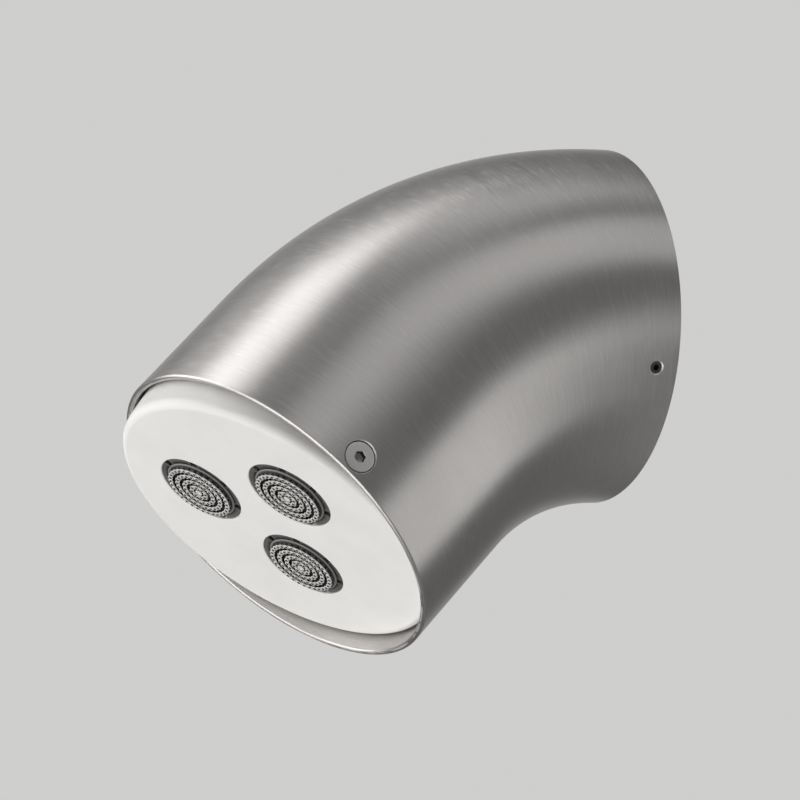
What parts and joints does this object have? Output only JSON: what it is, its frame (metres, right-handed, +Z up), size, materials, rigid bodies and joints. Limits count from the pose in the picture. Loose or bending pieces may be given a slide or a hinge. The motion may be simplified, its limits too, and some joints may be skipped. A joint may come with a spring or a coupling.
{
  "type": "wall-mounted elbow shower head",
  "caption": "Wall-mounted shower head: a wide brushed steel elbow with a white round spray plate that tilts in its mouth and sprays through recessed nozzles.",
  "frame": {"origin": "centre of the wall flange's screw circle on the wall face", "axes": "+Y into the wall, +Z up, the elbow leaves the wall towards -Y and bends down, the tilt axis lies along X"},
  "size_m": [0.0888, 0.1255, 0.127],
  "materials": {
    "brushed_steel": "stainless steel, fine brushing round the tube",
    "flange_metal": "turned aluminium",
    "brass": "plain turned brass",
    "black_rubber": "matt sealing rubber",
    "hose_rubber": "smooth flexible hose",
    "ferrule_steel": "crimped steel sleeve",
    "grey_plastic": "moulded grey plastic",
    "screw_steel": "plain screw steel",
    "polished_steel": "polished flat screw head",
    "white_plastic": "satin white plastic",
    "dark_plastic": "dark grey plastic",
    "pale_plastic": "pale warm grey plastic"
  },
  "bodies": {
    "elbow": {"elbow_tube": "brushed_steel", "wall_flange": "flange_metal", "set_screw_right": "screw_steel", "set_screw_top": "screw_steel", "set_screw_left": "screw_steel", "inlet_connector": "brass", "inlet_washer": "black_rubber", "supply_hose": "hose_rubber", "hose_ferrule_inlet": "ferrule_steel"},
    "spray_head": {"hose_ferrule_head": "ferrule_steel", "head_nipple": "brass", "nipple_seal": "black_rubber", "rear_cover": "grey_plastic", "cover_gasket": "black_rubber", "cover_screws": "screw_steel", "spray_plate": "white_plastic", "pivot_screw_right": "polished_steel", "pivot_insert_right": "brass", "pivot_screw_left": "polished_steel", "pivot_insert_left": "brass", "nozzle_housing_1": "dark_plastic", "nozzle_core_1": "dark_plastic", "nozzle_face_1": "pale_plastic", "nozzle_seal_1": "black_rubber", "nozzle_housing_2": "dark_plastic", "nozzle_core_2": "dark_plastic", "nozzle_face_2": "pale_plastic", "nozzle_seal_2": "black_rubber", "nozzle_housing_3": "dark_plastic", "nozzle_core_3": "dark_plastic", "nozzle_face_3": "pale_plastic", "nozzle_seal_3": "black_rubber"}
  },
  "joints": [
    {"name": "head_tilt", "type": "hinge", "parent": "elbow", "child": "spray_head", "pos_m": [0, -0.08933, -0.04744], "axis": [1, 0, 0], "range_deg": [-23, 7], "deforming": ["supply_hose"]}
  ]
}
